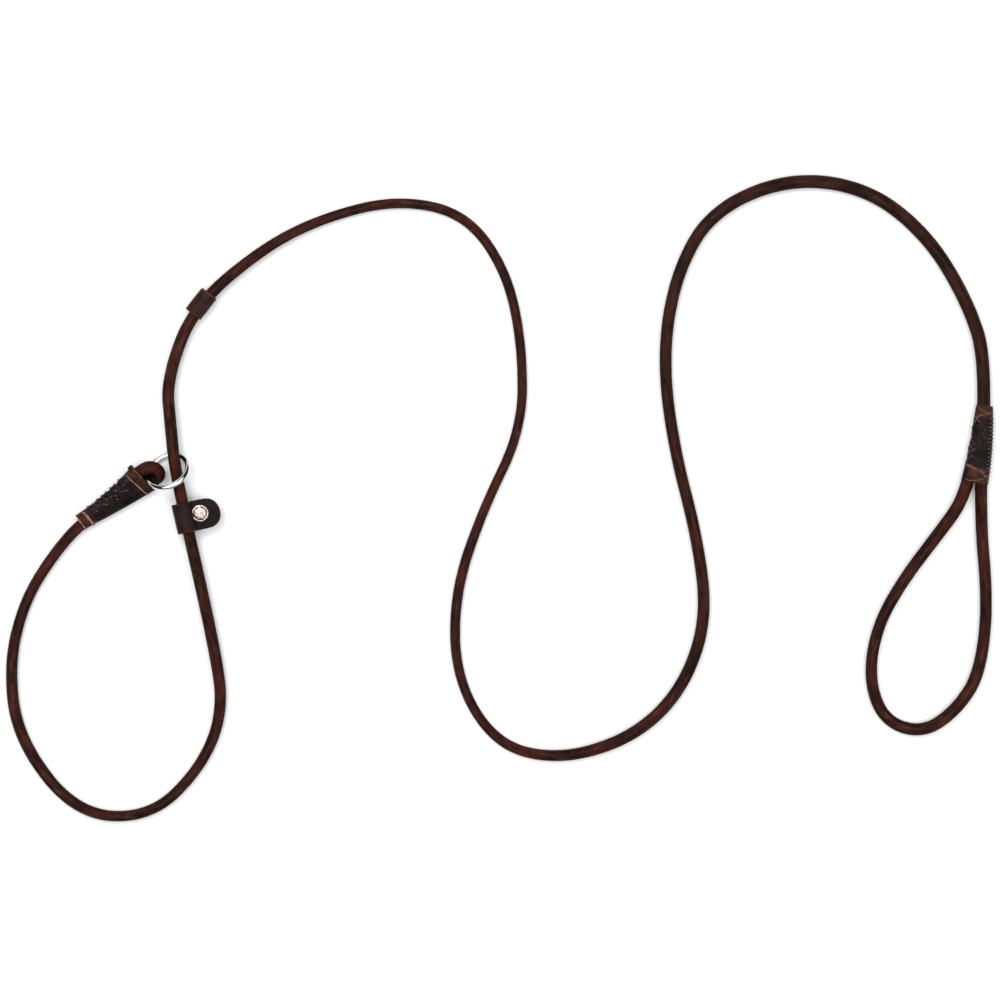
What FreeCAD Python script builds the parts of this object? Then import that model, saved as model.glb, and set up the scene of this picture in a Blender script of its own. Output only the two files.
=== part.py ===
import FreeCAD, Part
import math
import os

# Leather slip lead lying loose on a table. Millimetres, +Z up, the table at z = 0.
# The origin is under the middle of the lead, X runs from the noose to the hand loop.

Vector = FreeCAD.Vector
UP = Vector(0, 0, 1)

# Cord
CORD_DIAMETER = 6.4
CORD_RADIUS = CORD_DIAMETER / 2
ARC_SHARE = 0.45              # share of the shorter run that a corner arc takes

# Height of the cord's centre where something lifts it off the table
LYING = CORD_RADIUS
IN_NECK_WRAP = 4.2
IN_HAND_WRAP = 4.2
IN_KEEPER = 5.7               # at the far end of the run that carries the keeper
OVER_RING = 8.4
IN_STOP = 5.1

# The cord's route, from inside the neck wrap, round the noose, through the keeper, the ring
# and the stop sleeve, along the lead to the hand wrap, and round the hand loop.
ROUTE = [
    (-200, 4, IN_NECK_WRAP),
    (-224, -9.5, IN_NECK_WRAP),
    (-242, -29, LYING),
    (-259, -56.5, LYING),
    (-267, -91.5, LYING),
    (-261.5, -131.5, LYING),
    (-230, -171.5, LYING),
    (-190, -173.5, LYING),
    (-162, -146, LYING),
    (-150, -115, LYING),
    (-155, -79, IN_KEEPER),
    (-176, 14, OVER_RING),
    (-178.5, 40, OVER_RING),
    (-181, 65, IN_STOP),
    (-166, 105, IN_STOP),
    (-126.5, 138, IN_STOP),
    (-92, 154.5, LYING),
    (-54, 163, LYING),
    (-18, 155, LYING),
    (4, 124, LYING),
    (12.5, 84, LYING),
    (12.5, 38, LYING),
    (-9.5, -7, LYING),
    (-24.5, -52, LYING),
    (-23.5, -98, LYING),
    (-2, -133.5, LYING),
    (32, -142, LYING),
    (70.5, -131, LYING),
    (98, -106.5, LYING),
    (113, -68, LYING),
    (108.5, -24, LYING),
    (94, 32, LYING),
    (89, 81, LYING),
    (97, 125, LYING),
    (116.5, 157.5, LYING),
    (158, 175, LYING),
    (201, 169, LYING),
    (233.5, 143, LYING),
    (255, 107, LYING),
    (265, 75, IN_HAND_WRAP),
    (261, -5, IN_HAND_WRAP),
    (266, -57, LYING),
    (261.5, -95, LYING),
    (249.5, -114, LYING),
    (231, -127.5, LYING),
    (209.5, -121, LYING),
    (201, -98, LYING),
    (205.5, -69.5, LYING),
    (219.5, -44.5, LYING),
    (238.5, -19.5, LYING),
    (252.2, -1, IN_HAND_WRAP),
    (255.35, 12, IN_HAND_WRAP),
]
KEEPER_RUN = 10               # the run from this point to the next carries the keeper
RING_RUN = 11                 # the noose ends and the lead begins half way along this run
STOP_CORNER = 14              # the stop sleeve slides on the arc at this point
HAND_RUN = 39                 # the lead ends and the hand loop begins half way along this run

# Ring: a welded chromed ring standing on its low edge, tipped by the eye that holds it
RING_CENTRE_RADIUS = 11.5
RING_WIRE_RADIUS = 1.5
RING_X = -179.95
RING_Y = 15.15
RING_TURN = 24.0              # degrees from X to the ring's level diameter
RING_TILT = 43.0              # degrees between the ring and the table

# Eye: the cord's end folded round the ring, squeezed a little thinner by the fold
EYE_RADIUS = 2.9
EYE_PLACE = 160.0             # degrees round the ring from its level diameter
EYE_TURN = 3.0                # degrees from X to the way the fold points
EYE_HALF_WIDTH = 3.5          # half the spacing of the two legs across the fold
EYE_HALF_HEIGHT = 3.25        # half the difference of their heights
EYE_REACH = 1.5               # from the ring's wire to the middle of the fold
EYE_LEG = 2.6                 # straight leg between the fold and the bend into the wrap
EYE_LEAD_IN = 4.0             # straight start in line with the noose cord

WRAP_LEATHER = 0.9
WRAP_OVERRUN = 0.05           # share of a wrap's length that its cavity runs past each end

# Neck wrap: a leather cover sewn over the eye's two legs
NECK_NARROW = Vector(-227.5, -12.5, IN_NECK_WRAP)
NECK_WIDE = Vector(-194.0, 11.0, 5.9)
NECK_NARROW_SIZE = (0.4, 4.2)    # half the flat and the edge radius of the section
NECK_WIDE_SIZE = (4.9, 4.2)
NECK_TILT = 20.0
NECK_TAIL_START = Vector(-201.0, 10.8, 6.9)
NECK_TAIL_TIP = Vector(-219.2, -2.2, 5.0)
TAIL_TIP_RADIUS = 0.7

# Hand wrap: the same cover over the foot of the hand loop
HAND_NARROW = Vector(263.9, 50.0, 4.05)
HAND_WIDE = Vector(258.4, 9.0, 4.05)
HAND_NARROW_SIZE = (0.4, 4.2)
HAND_WIDE_SIZE = (3.2, 4.2)
HAND_TAIL_TIP = Vector(258.9, 39.0, 4.2)
HAND_TAIL_TIP_RADIUS = 0.8

# Sewing thread, half sunk into the leather. Places are shares of a wrap's length from its
# narrow end, and -1 to 1 across its flat face.
THREAD_RADIUS = 0.4
THREAD_LIFT = 0.2
STITCH_PITCH = 3.6
STITCH_HALF_WIDTH = 1.1
SEWN_EDGE = 1                    # which edge of a wrap's outline is the half circle sewn over
NECK_EDGE_STITCHES = (0.16, 0.82)
NECK_FACE_STITCHES = (0.20, 0.84)
NECK_FACE_PLACE = 0.5
NECK_FACE_LEAN = 0.6
NECK_NARROW_BANDS = (0.02, 0.10)
NECK_WIDE_BAND = 0.90
NECK_WIDE_SLANT = 12.0           # degrees
HAND_EDGE_STITCHES = (0.16, 0.86)
HAND_LACING = (0.18, 0.82)
HAND_LACING_PLACE = -0.6
HAND_LACING_LEAN = 0.8
HAND_NARROW_BANDS = (0.06, 0.12)
HAND_WIDE_BANDS = (0.88, 0.93)
HAND_BAND_SLANT = 10.0

# The room above the table, larger than the whole lead
ROOM_LENGTH = 700.0
ROOM_WIDTH = 500.0
ROOM_HEIGHT = 100.0

# Keeper: a strap folded round the cord and held shut by a rivet through its tab
KEEPER_FROM_RING_POINT = 24.8    # along the run, from the route's point inside the ring
KEEPER_WIDTH = 16.3
KEEPER_LEATHER = 2.5
KEEPER_CLEARANCE = 0.3
KEEPER_REACH = 19.2              # from the cord's centre to the end of the tab
TAB_TOP = 2.4
TAB_BOTTOM = -1.8
SHOULDER_TOP = 4.1
SHOULDER_BOTTOM = 5.2
SHOULDER_ANGLE = 62.0
RIVET_ACROSS = 8.6
RIVET_ALONG = 0.7
RIVET_CAP_RADIUS = 4.5
RIVET_CAP_EDGE = 0.5
RIVET_CAP_HEIGHT = 1.7
RIVET_BACK_RADIUS = 3.5
RIVET_BACK_HEIGHT = 1.2
RIVET_POST_RADIUS = 1.6

# Stop: a leather sleeve on the cord between the ring and the hand
STOP_LENGTH = 14.3
STOP_RADIUS = 5.05
STOP_CLEARANCE = 0.25
STOP_FROM_ARC_MIDDLE = 3.2


def save(name, shape):
    if not shape.isValid():
        raise ValueError(name + " is not a valid shape")
    for solid in shape.Solids:
        if solid.Volume <= 0:
            raise ValueError(name + " has a solid with no volume")
    shape.exportStep(os.path.join("parts", name + ".step"))
    print("%-24s solids %d volume %.1f" % (name, len(shape.Solids), shape.Volume))


def unit(vector):
    return Vector(vector).normalize()


def level(vector):
    return unit(Vector(vector.x, vector.y, 0))


def middle(a, b):
    return (a + b) * 0.5


def corner_arc(before, corner, after):
    """Start, middle and end of the arc that rounds a corner, with its centre and radius."""
    back = before - corner
    ahead = after - corner
    reach = ARC_SHARE * min(back.Length, ahead.Length)
    turn = math.pi - back.getAngle(ahead)
    radius = reach / math.tan(turn / 2)
    start = corner + unit(back) * reach
    end = corner + unit(ahead) * reach
    inward = unit(unit(back) + unit(ahead))
    centre = corner + inward * math.hypot(radius, reach)
    return start, centre - inward * radius, end, centre, radius


def line(a, b):
    return Part.LineSegment(a, b).toShape()


def rounded_path(points):
    """Straight runs joined by tangent arcs, as a list of edges."""
    edges = []
    last = points[0]
    for before, corner, after in zip(points, points[1:], points[2:]):
        start, top, end = corner_arc(before, corner, after)[:3]
        edges.append(line(last, start))
        edges.append(Part.Arc(start, top, end).toShape())
        last = end
    edges.append(line(last, points[-1]))
    return edges


def tube(edges, radius):
    """A round solid along a path, checked against its section times its length."""
    path = Part.Wire(edges)
    first = edges[0]
    start = first.valueAt(first.FirstParameter)
    direction = first.tangentAt(first.FirstParameter)
    section = Part.Face(Part.Wire([Part.makeCircle(radius, start, direction)]))
    solid = path.makePipe(section)
    if not solid.Solids:
        solid = Part.makeSolid(solid)
    expected = math.pi * radius ** 2 * path.Length
    print("tube: length %.1f, volume over section times length %.5f" %
          (path.Length, solid.Volume / expected))
    return solid


def stretch(first_run, last_run):
    """The cord's edges from the middle of one run to the middle of another, None being the
    route's own start or end."""
    points = [Vector(*p) for p in ROUTE]
    last = points[0]
    first_corner = 1
    if first_run is not None:
        last = middle(points[first_run], points[first_run + 1])
        first_corner = first_run + 1
    finish = points[-1]
    last_corner = len(points) - 2
    if last_run is not None:
        finish = middle(points[last_run], points[last_run + 1])
        last_corner = last_run
    edges = []
    for i in range(first_corner, last_corner + 1):
        start, top, end, _, radius = corner_arc(points[i - 1], points[i], points[i + 1])
        print("route point %2d: run %.0f, arc radius %.0f" %
              (i, (points[i] - points[i - 1]).Length, radius))
        edges.append(line(last, start))
        edges.append(Part.Arc(start, top, end).toShape())
        last = end
    edges.append(line(last, finish))
    return edges


def ring_frame():
    """The ring's centre, its level diameter, the diameter that runs down, and its axis."""
    turn = math.radians(RING_TURN)
    tilt = math.radians(RING_TILT)
    across = Vector(math.cos(turn), math.sin(turn), 0)
    down = Vector(-math.sin(turn) * math.cos(tilt), math.cos(turn) * math.cos(tilt),
                  -math.sin(tilt))
    height = RING_WIRE_RADIUS + RING_CENTRE_RADIUS * math.sin(tilt)
    return Vector(RING_X, RING_Y, height), across, down, across.cross(down)


def oval(centre, along, side, half_flat, radius):
    """A flat-sided oval across the axis: two half circles joined by two straight lines."""
    thick = along.cross(side)
    right = centre + side * half_flat
    left = centre - side * half_flat
    return Part.Wire([
        line(left + thick * radius, right + thick * radius),
        Part.Arc(right + thick * radius, right + side * radius,
                 right - thick * radius).toShape(),
        line(right - thick * radius, left - thick * radius),
        Part.Arc(left - thick * radius, left - side * radius,
                 left + thick * radius).toShape(),
    ])


class Wrap:
    """A tapered leather cover, wide where the cord is double and narrow where it is single."""

    def __init__(self, narrow, wide, narrow_size, wide_size, tilt):
        self.narrow = narrow
        self.wide = wide
        self.narrow_size = narrow_size
        self.wide_size = wide_size
        self.along = level(wide - narrow)
        sideways = UP.cross(self.along)
        angle = math.radians(tilt)
        self.side = sideways * math.cos(angle) + UP * math.sin(angle)
        self.length = (wide - narrow).Length

    def size(self, share):
        flat = self.narrow_size[0] + (self.wide_size[0] - self.narrow_size[0]) * share
        radius = self.narrow_size[1] + (self.wide_size[1] - self.narrow_size[1]) * share
        return flat, radius

    def centre(self, share):
        return self.narrow + (self.wide - self.narrow) * share

    def section(self, share, grow=0.0, slant=0.0):
        """The outline at a share of the length, grown outwards, or slanted by an angle."""
        flat, radius = self.size(share)
        angle = math.radians(slant)
        side = self.side * math.cos(angle) + self.along * math.sin(angle)
        along = self.along * math.cos(angle) - self.side * math.sin(angle)
        return oval(self.centre(share), along, side, flat / math.cos(angle), radius + grow)

    def solid(self):
        """The leather: a tapered shell, open at both ends where the cord comes out."""
        outside = Part.makeLoft([self.section(0.0), self.section(1.0)], True, True)
        inside = Part.makeLoft([self.section(-WRAP_OVERRUN, -WRAP_LEATHER),
                                self.section(1 + WRAP_OVERRUN, -WRAP_LEATHER)], True, True)
        return outside.cut(inside)

    def band(self, share, slant=0.0):
        """One turn of thread round the cover."""
        return ring_along(self.section(share, THREAD_LIFT, slant))

    def crossed_bands(self, shares, slant):
        """Two turns of thread that lean against each other."""
        return self.band(shares[0], slant).fuse(self.band(shares[1], -slant))

    def spaced(self, shares):
        """Shares of the length, one for each stitch."""
        first, last = shares
        count = int((last - first) * self.length / STITCH_PITCH) + 1
        return [first + (last - first) * i / (count - 1) for i in range(count)]

    def edge_stitches(self, shares):
        """Separate loops of thread over one edge of the cover, from top to bottom."""
        outlines = [self.section(share, THREAD_LIFT) for share in self.spaced(shares)]
        return Part.makeCompound([thread(outline.Edges[SEWN_EDGE]) for outline in outlines])

    def face_stitches(self, shares, place, lean):
        """Slanting stitches on the cover's upper face."""
        thick = self.along.cross(self.side)
        half = self.side * STITCH_HALF_WIDTH + self.along * lean
        solids = []
        for share in self.spaced(shares):
            flat, radius = self.size(share)
            at = self.centre(share) + self.side * (flat * place) + thick * radius
            solids.append(thread(line(at - half, at + half)))
        return Part.makeCompound(solids)


def above_table(shape):
    """Leather and sewing thread are pressed flat where they lie on the table."""
    room = Part.makeBox(ROOM_LENGTH, ROOM_WIDTH, ROOM_HEIGHT,
                        Vector(-ROOM_LENGTH / 2, -ROOM_WIDTH / 2, 0))
    return shape.common(room)


def thread(edge):
    """One stitch, a solid along a single edge."""
    start = edge.valueAt(edge.FirstParameter)
    direction = edge.tangentAt(edge.FirstParameter)
    section = Part.Face(Part.Wire([Part.makeCircle(THREAD_RADIUS, start, direction)]))
    return Part.Wire([edge]).makePipe(section)


def ring_along(outline):
    """Thread closed on itself round an outline."""
    first = outline.Edges[0]
    start = first.valueAt(first.FirstParameter)
    direction = first.tangentAt(first.FirstParameter)
    section = Part.Wire([Part.makeCircle(THREAD_RADIUS, start, direction)])
    return outline.makePipeShell([section], True, False)


def noose_cord():
    return tube(stretch(None, RING_RUN), CORD_RADIUS)


def lead_cord():
    return tube(stretch(RING_RUN, HAND_RUN), CORD_RADIUS)


def hand_loop_cord():
    return tube(stretch(HAND_RUN, None), CORD_RADIUS)


def o_ring():
    centre, _, _, axis = ring_frame()
    return Part.makeTorus(RING_CENTRE_RADIUS, RING_WIRE_RADIUS, centre, axis)


def ring_eye():
    """From the noose cord's end, under the ring's wire, round the fold and over the wire."""
    centre, across, down, _ = ring_frame()
    place = math.radians(EYE_PLACE)
    wire = centre + (across * math.cos(place) + down * math.sin(place)) * RING_CENTRE_RADIUS
    turn = math.radians(EYE_TURN)
    ahead = Vector(math.cos(turn), math.sin(turn), 0)
    to_leg = UP.cross(ahead) * EYE_HALF_WIDTH + UP * EYE_HALF_HEIGHT
    fold = wire + ahead * EYE_REACH
    low = fold - to_leg
    high = fold + to_leg
    start = Vector(*ROUTE[0])
    lead_in = start + unit(start - Vector(*ROUTE[1])) * EYE_LEAD_IN
    edges = rounded_path([start, lead_in, low - ahead * EYE_LEG, low])
    edges.append(Part.Arc(low, fold + ahead * to_leg.Length, high).toShape())
    edges += rounded_path([high, high - ahead * EYE_LEG, NECK_TAIL_START])
    return tube(edges, EYE_RADIUS)


def tail(start, tip, start_radius, tip_radius):
    """The cord's end pared down to a taper under a wrap."""
    return Part.makeCone(start_radius, tip_radius, (tip - start).Length, start,
                         unit(tip - start))


class Keeper:
    """The folded strap's own frame: along the cord towards the ring, across, and upwards."""

    def __init__(self):
        far = Vector(*ROUTE[KEEPER_RUN])
        near = Vector(*ROUTE[KEEPER_RUN + 1])
        self.along = unit(near - far)
        self.across = level(self.along.cross(UP))
        self.up = self.across.cross(self.along)
        self.centre = near - self.along * KEEPER_FROM_RING_POINT
        self.rivet = self.centre + self.across * RIVET_ACROSS + self.along * RIVET_ALONG

    def point(self, along, across, up):
        return self.centre + self.along * along + self.across * across + self.up * up

    def strap(self):
        """The strap's side view extruded along the cord, then cut to its outline from above."""
        bore = CORD_RADIUS + KEEPER_CLEARANCE
        outer = bore + KEEPER_LEATHER
        back = -KEEPER_WIDTH / 2
        angle = math.radians(SHOULDER_ANGLE)
        high = self.point(back, outer * math.cos(angle), outer * math.sin(angle))
        low = self.point(back, outer * math.cos(angle), -outer * math.sin(angle))
        corners = [
            high,
            self.point(back, SHOULDER_TOP, TAB_TOP),
            self.point(back, KEEPER_REACH, TAB_TOP),
            self.point(back, KEEPER_REACH, TAB_BOTTOM),
            self.point(back, SHOULDER_BOTTOM, TAB_BOTTOM),
            low,
        ]
        edges = [line(a, b) for a, b in zip(corners, corners[1:])]
        edges.append(Part.Arc(low, self.point(back, -outer, 0), high).toShape())
        body = Part.Face(Part.Wire(edges)).extrude(self.along * KEEPER_WIDTH)
        body = body.common(self.outline(2 * outer))
        body = body.cut(Part.makeCylinder(bore, 2 * KEEPER_WIDTH,
                                          self.point(-KEEPER_WIDTH, 0, 0), self.along))
        hole = Part.makeCylinder(RIVET_POST_RADIUS, 4 * outer, self.rivet - self.up * 2 * outer,
                                 self.up)
        return body.cut(hole)

    def outline(self, room):
        """The strap's outline from above, square at the cord and half round at the tab's end,
        as a solid that leaves room round the strap on its other sides."""
        half = KEEPER_WIDTH / 2
        turn = KEEPER_REACH - half
        corners = [
            self.point(half, turn, -room),
            self.point(half, -room, -room),
            self.point(-half, -room, -room),
            self.point(-half, turn, -room),
        ]
        edges = [line(a, b) for a, b in zip(corners, corners[1:])]
        edges.append(Part.Arc(corners[-1], self.point(0, KEEPER_REACH, -room),
                              corners[0]).toShape())
        return Part.Face(Part.Wire(edges)).extrude(self.up * 2 * room)

    def dome(self, base, up, radius, edge, height):
        """A rivet's head: a low dome on a thin straight edge."""
        rise = height - edge
        ball_radius = (radius ** 2 + rise ** 2) / (2 * rise)
        ball = Part.makeSphere(ball_radius, base + up * (height - ball_radius), self.along)
        return Part.makeCylinder(radius, 2 * height, base, up).common(ball)

    def rivet_cap(self):
        return self.dome(self.rivet + self.up * TAB_TOP, self.up, RIVET_CAP_RADIUS,
                         RIVET_CAP_EDGE, RIVET_CAP_HEIGHT)

    def rivet_post(self):
        foot = self.rivet + self.up * TAB_BOTTOM
        post = Part.makeCylinder(RIVET_POST_RADIUS, TAB_TOP - TAB_BOTTOM, foot, self.up)
        back = self.dome(foot, self.up * -1, RIVET_BACK_RADIUS, RIVET_CAP_EDGE,
                         RIVET_BACK_HEIGHT)
        return post.fuse(back).removeSplitter()


def stop_sleeve():
    """A straight sleeve with a bore that follows the arc of cord that it slides on."""
    before, corner, after = [Vector(*ROUTE[STOP_CORNER + i]) for i in (-1, 0, 1)]
    _, top, _, centre, radius = corner_arc(before, corner, after)
    print("stop arc: centre %.3f %.3f, radius %.3f" % (centre.x, centre.y, radius))
    angle = -STOP_FROM_ARC_MIDDLE / radius
    out = FreeCAD.Rotation(UP, math.degrees(angle)).multVec(top - centre)
    place = centre + out
    along = unit(out.cross(UP))
    body = Part.makeCylinder(STOP_RADIUS, STOP_LENGTH, place - along * (STOP_LENGTH / 2), along)
    bore = Part.makeTorus(radius, CORD_RADIUS + STOP_CLEARANCE, centre, UP)
    return body.cut(bore)


def main():
    os.makedirs("parts", exist_ok=True)
    neck = Wrap(NECK_NARROW, NECK_WIDE, NECK_NARROW_SIZE, NECK_WIDE_SIZE, NECK_TILT)
    hand = Wrap(HAND_NARROW, HAND_WIDE, HAND_NARROW_SIZE, HAND_WIDE_SIZE, 0.0)

    noose = noose_cord()
    lead = lead_cord()
    loop = hand_loop_cord()
    eye = ring_eye()
    neck_tail = tail(NECK_TAIL_START, NECK_TAIL_TIP, EYE_RADIUS, TAIL_TIP_RADIUS).cut(eye)
    hand_tail = tail(Vector(*ROUTE[-1]), HAND_TAIL_TIP, CORD_RADIUS,
                     HAND_TAIL_TIP_RADIUS).cut(loop)
    save("noose_cord", noose)
    save("lead_cord", lead)
    save("hand_loop_cord", loop)
    save("ring_eye", eye)
    save("neck_cord_tail", neck_tail)
    save("hand_cord_tail", hand_tail)

    save("neck_splice_wrap", neck.solid())
    save("neck_edge_stitching", above_table(neck.edge_stitches(NECK_EDGE_STITCHES)))
    save("neck_face_stitching",
         neck.face_stitches(NECK_FACE_STITCHES, NECK_FACE_PLACE, NECK_FACE_LEAN))
    narrow_bands = [neck.band(share) for share in NECK_NARROW_BANDS]
    save("neck_thread_narrow_end", above_table(Part.makeCompound(narrow_bands)))
    save("neck_thread_wide_end", above_table(neck.band(NECK_WIDE_BAND, NECK_WIDE_SLANT)))

    save("hand_splice_wrap", above_table(hand.solid()))
    save("hand_edge_stitching", above_table(hand.edge_stitches(HAND_EDGE_STITCHES)))
    save("hand_face_lacing",
         hand.face_stitches(HAND_LACING, HAND_LACING_PLACE, HAND_LACING_LEAN))
    save("hand_thread_narrow_end",
         above_table(hand.crossed_bands(HAND_NARROW_BANDS, HAND_BAND_SLANT)))
    save("hand_thread_wide_end",
         above_table(hand.crossed_bands(HAND_WIDE_BANDS, HAND_BAND_SLANT)))

    save("o_ring", o_ring())
    keeper = Keeper()
    save("keeper_strap", keeper.strap())
    save("rivet_cap", keeper.rivet_cap())
    save("rivet_post", keeper.rivet_post())
    save("stop_sleeve", stop_sleeve())


main()
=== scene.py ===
import math
import random

import bpy
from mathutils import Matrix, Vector, noise


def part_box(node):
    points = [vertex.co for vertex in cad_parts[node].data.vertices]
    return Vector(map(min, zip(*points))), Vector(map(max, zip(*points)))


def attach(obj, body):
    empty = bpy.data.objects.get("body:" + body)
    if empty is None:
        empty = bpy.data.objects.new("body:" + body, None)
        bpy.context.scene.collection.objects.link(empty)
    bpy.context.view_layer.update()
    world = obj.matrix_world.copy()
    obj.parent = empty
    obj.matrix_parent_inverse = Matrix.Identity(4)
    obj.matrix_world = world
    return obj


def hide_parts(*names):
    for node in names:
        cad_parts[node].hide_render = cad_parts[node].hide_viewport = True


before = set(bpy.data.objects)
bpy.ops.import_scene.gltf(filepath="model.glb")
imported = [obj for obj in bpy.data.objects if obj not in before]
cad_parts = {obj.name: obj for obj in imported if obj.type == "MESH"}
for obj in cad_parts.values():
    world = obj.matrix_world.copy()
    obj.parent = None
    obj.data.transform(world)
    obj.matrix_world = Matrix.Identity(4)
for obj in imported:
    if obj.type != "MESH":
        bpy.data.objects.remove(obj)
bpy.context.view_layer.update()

# Leather slip lead, lying loose. Metres, +Z up, the table at z = 0.

MM = 0.001
UP = Vector((0, 0, 1))

# The cord and its route: the same points as the CAD's. The heights of the cord's middle come first.
CORD_RADIUS = 3.2 * MM
CORD_SIDES = 40
ROUTE_STEPS = 24
GRAIN_TWIST = 6.0             # how the leather's grain winds round the cord, radians per metre
LYING = 0.0032
IN_NECK_WRAP = 0.0042
IN_HAND_WRAP = 0.0042
IN_KEEPER = 0.0057
OVER_RING = 0.0084
IN_STOP = 0.0051

LEAD_ROUTE = [
    (-0.200, 0.004, IN_NECK_WRAP),
    (-0.224, -0.0095, IN_NECK_WRAP),
    (-0.242, -0.029, LYING),
    (-0.259, -0.0565, LYING),
    (-0.267, -0.0915, LYING),
    (-0.2615, -0.1315, LYING),
    (-0.230, -0.1715, LYING),
    (-0.190, -0.1735, LYING),
    (-0.162, -0.146, LYING),
    (-0.150, -0.115, LYING),
    (-0.155, -0.079, IN_KEEPER),
    (-0.176, 0.014, OVER_RING),
    (-0.1785, 0.040, OVER_RING),
    (-0.181, 0.065, IN_STOP),
    (-0.166, 0.105, IN_STOP),
    (-0.1265, 0.138, IN_STOP),
    (-0.092, 0.1545, LYING),
    (-0.054, 0.163, LYING),
    (-0.018, 0.155, LYING),
    (0.004, 0.124, LYING),
    (0.0125, 0.084, LYING),
    (0.0125, 0.038, LYING),
    (-0.0095, -0.007, LYING),
    (-0.0245, -0.052, LYING),
    (-0.0235, -0.098, LYING),
    (-0.002, -0.1335, LYING),
    (0.032, -0.142, LYING),
    (0.0705, -0.131, LYING),
    (0.098, -0.1065, LYING),
    (0.113, -0.068, LYING),
    (0.1085, -0.024, LYING),
    (0.094, 0.032, LYING),
    (0.089, 0.081, LYING),
    (0.097, 0.125, LYING),
    (0.1165, 0.1575, LYING),
    (0.158, 0.175, LYING),
    (0.201, 0.169, LYING),
    (0.2335, 0.143, LYING),
    (0.255, 0.107, LYING),
    (0.265, 0.075, IN_HAND_WRAP),
    (0.263, 0.035, IN_HAND_WRAP),
]
HAND_ROUTE = [
    (0.263, 0.035, IN_HAND_WRAP),
    (0.261, -0.005, IN_HAND_WRAP),
    (0.266, -0.057, LYING),
    (0.2615, -0.095, LYING),
    (0.2495, -0.114, LYING),
    (0.231, -0.1275, LYING),
    (0.2095, -0.121, LYING),
    (0.201, -0.098, LYING),
    (0.2055, -0.0695, LYING),
    (0.2195, -0.0445, LYING),
    (0.2385, -0.0195, LYING),
    (0.2522, -0.001, IN_HAND_WRAP),
    (0.25535, 0.012, IN_HAND_WRAP),
]
DULL_FROM = 1.22              # how far along the lead its leather turns a duller brown

# How thick the hand-rolled cord is along its length, as (distance, share of the diameter).
LEAD_GIRTH = [(0.00, 0.98), (0.08, 0.92), (0.16, 0.99), (0.26, 0.88), (0.36, 1.02),
              (0.52, 1.02), (0.64, 0.84), (0.86, 0.80), (0.92, 0.87), (0.98, 0.82),
              (1.10, 1.04), (1.24, 0.99), (1.46, 1.12), (1.64, 1.12)]
HAND_GIRTH = [(0.00, 1.06), (0.10, 1.00), (0.14, 1.06), (0.24, 0.98), (0.32, 1.07), (0.36, 1.07)]

# The cord's end: out of the neck wrap, under the ring's wire, round and back over it.
EYE_RADIUS = 3.5 * MM
EYE_PARED_FROM = 42 * MM
EYE_PARED_OVER = 13 * MM
WIRE_CLEARANCE = 0.12 * MM
EYE_ROUTE = [
    (-0.2060, 0.0006, 0.0042),
    (-0.2000, 0.0040, 0.0042),
    (-0.1966, 0.0063, 0.0042),
    (-0.1921, 0.0105, 0.0036),
    (-0.1875, 0.0107, 0.0036),
    (-0.1849, 0.0123, 0.0055),
    (-0.1849, 0.0153, 0.0081),
    (-0.1879, 0.0173, 0.0100),
    (-0.1923, 0.0170, 0.0100),
    (-0.2010, 0.0106, 0.0054),
    (-0.2100, 0.0042, 0.0050),
]

# Ring
RING_RADIUS = 11.5 * MM
RING_WIRE = 1.5 * MM
RING_TURN = math.radians(24.0)
RING_TILT = math.radians(43.0)
RING_CENTRE = Vector((-179.95 * MM, 15.15 * MM, RING_WIRE + RING_RADIUS * math.sin(RING_TILT)))
RING_STEPS = 240
RING_SIDES = 36
WELD_STEP = 40                # the ring's weld is a slight swelling at this step

# Wraps
COVER_AROUND = 120
COVER_STATIONS = 150
COVER_LEATHER = 0.9 * MM
COVER_RIM = 0.25 * MM
WAIST_DEPTH = 0.10            # how far the leather sinks between the two cords
GATHER_WIDTH = 0.022          # share of a cover's length that a gather in its edge takes
THREAD_SIDES = 10
THREAD_STEPS = 14
TWIST_PITCH = 1.1 * MM

# Keeper
KEEPER_WIDTH = 16.3 * MM
KEEPER_REACH = 19.2 * MM
KEEPER_LEATHER = 2.1 * MM
KEEPER_PAD = 0.18 * MM        # how much thicker the strap is round the cord than in its tab
KEEPER_BORE = 3.67 * MM
KEEPER_CORNER = 0.42 * MM
KEEPER_FROM_RING_POINT = 24.8 * MM
KEEPER_POINTS = (10, 11)      # the two points of the lead's route that it lies between
TAB_TOP = 1.30 * MM           # the middles of the tab's two layers, over and under the cord's middle
TAB_BOTTOM = -0.72 * MM
TAB_STEPS = 30
TAB_TIP = 0.06 * MM
TAB_LEAST = 1.2 * MM
UPPER_FOLD = (4.9 * MM, 2.9 * MM, 3.55 * MM)      # where it starts, where it ends, height there
LOWER_FOLD = (6.8 * MM, 3.4 * MM, -3.3 * MM)
FOLD_SHARES = (0.2, 0.4, 0.6, 0.8)
FOLD_ARC = (55, 316)
ARC_STEPS = 48
RIVET_ACROSS = 8.6 * MM
RIVET_ALONG = 0.7 * MM
RIVET_CAP_BASE = 2.35 * MM
RIVET_BACK_BASE = 1.75 * MM
RIVET_POST_RADIUS = 1.6 * MM
RIVET_POST_LENGTH = 4.0 * MM

# Stop sleeve: a strip of leather rolled round an arc of the cord
STOP_LENGTH = 14.3 * MM
STOP_RADIUS = 5.05 * MM
STOP_BORE = CORD_RADIUS + 0.28 * MM
STOP_ARC_CENTRE = Vector((-104.543, 61.423, 5.1)) * MM
STOP_STRIP = 0.34 * MM        # how far the lapped end stands out
STOP_RIM = 0.3 * MM
STOP_LAP = math.radians(-52)
STOP_STATIONS = 48
STOP_AROUND = 112


# ---------------------------------------------------------------- mesh helpers

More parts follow.
